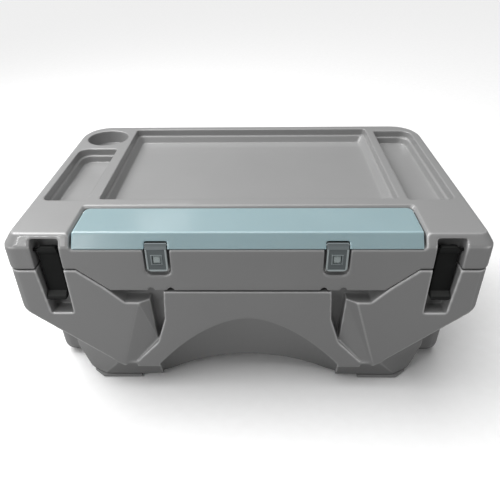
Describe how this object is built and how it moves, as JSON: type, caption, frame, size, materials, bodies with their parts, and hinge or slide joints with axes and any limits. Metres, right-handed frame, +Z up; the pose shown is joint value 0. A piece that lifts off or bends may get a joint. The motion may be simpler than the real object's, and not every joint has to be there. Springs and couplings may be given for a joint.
{
  "type": "moulded work-top storage case",
  "caption": "Moulded two-part case with a tray-topped hinged lid, cup holder, flip-up front bin cover with snap clips, and rubber draw latches.",
  "frame": {"origin": "middle of the footprint on the floor", "axes": "+X right, +Y to the hinge side (back), +Z up"},
  "size_m": [0.846, 0.5537, 0.365],
  "materials": {
    "shell": "satin moulded grey",
    "panel": "matte grey sheet",
    "cover": "milky pale blue",
    "clip": "milky blue-grey",
    "rubber": "matte black",
    "metal": "brushed"
  },
  "bodies": {
    "tub": {"foot_front_left": "shell", "foot_front_right": "shell", "foot_rear_left": "shell", "foot_rear_right": "shell", "foot_screw_front_left": "metal", "foot_screw_front_right": "metal", "foot_screw_rear_left": "metal", "foot_screw_rear_right": "metal", "hinge_cap_left": "rubber", "hinge_cap_right": "rubber", "hinge_rod": "metal", "keeper_screw_left_1": "metal", "keeper_screw_left_2": "metal", "keeper_screw_right_1": "metal", "keeper_screw_right_2": "metal", "latch_keeper_left": "metal", "latch_keeper_right": "metal", "tub_body": "shell"},
    "lid": {"bin_liner": "panel", "clip_striker_left": "clip", "clip_striker_right": "clip", "cover_pin_left": "metal", "cover_pin_right": "metal", "latch_pin_left": "metal", "latch_pin_right": "metal", "lid_inner_panel": "panel", "lid_seal": "rubber", "lid_shell": "shell", "panel_screw_1": "metal", "panel_screw_2": "metal", "panel_screw_3": "metal", "panel_screw_4": "metal", "panel_screw_5": "metal", "panel_screw_6": "metal"},
    "bin_cover": {"bin_cover": "cover", "clip_pin_left": "metal", "clip_pin_right": "metal"},
    "clip_left": {"clip_left": "clip"},
    "clip_right": {"clip_right": "clip"},
    "latch_left": {"latch_left": "rubber"},
    "latch_right": {"latch_right": "rubber"}
  },
  "joints": [
    {"name": "lid_hinge", "type": "hinge", "parent": "tub", "child": "lid", "pos_m": [0, 0.2685, 0.299], "axis": [-1, 0, 0], "range_deg": [0, 100]},
    {"name": "cover_hinge", "type": "hinge", "parent": "lid", "child": "bin_cover", "pos_m": [0, -0.1765, 0.357], "axis": [-1, 0, 0], "range_deg": [0, 105]},
    {"name": "clip_left_hinge", "type": "hinge", "parent": "bin_cover", "child": "clip_left", "pos_m": [-0.156, -0.2675, 0.3445], "axis": [-1, 0, 0], "range_deg": [0, 95]},
    {"name": "clip_right_hinge", "type": "hinge", "parent": "bin_cover", "child": "clip_right", "pos_m": [0.156, -0.2675, 0.3445], "axis": [-1, 0, 0], "range_deg": [0, 95]},
    {"name": "latch_left_hinge", "type": "hinge", "parent": "lid", "child": "latch_left", "pos_m": [-0.3485, -0.2595, 0.331], "axis": [-1, 0, 0], "range_deg": [0, 115]},
    {"name": "latch_right_hinge", "type": "hinge", "parent": "lid", "child": "latch_right", "pos_m": [0.3485, -0.2595, 0.331], "axis": [-1, 0, 0], "range_deg": [0, 115]}
  ]
}
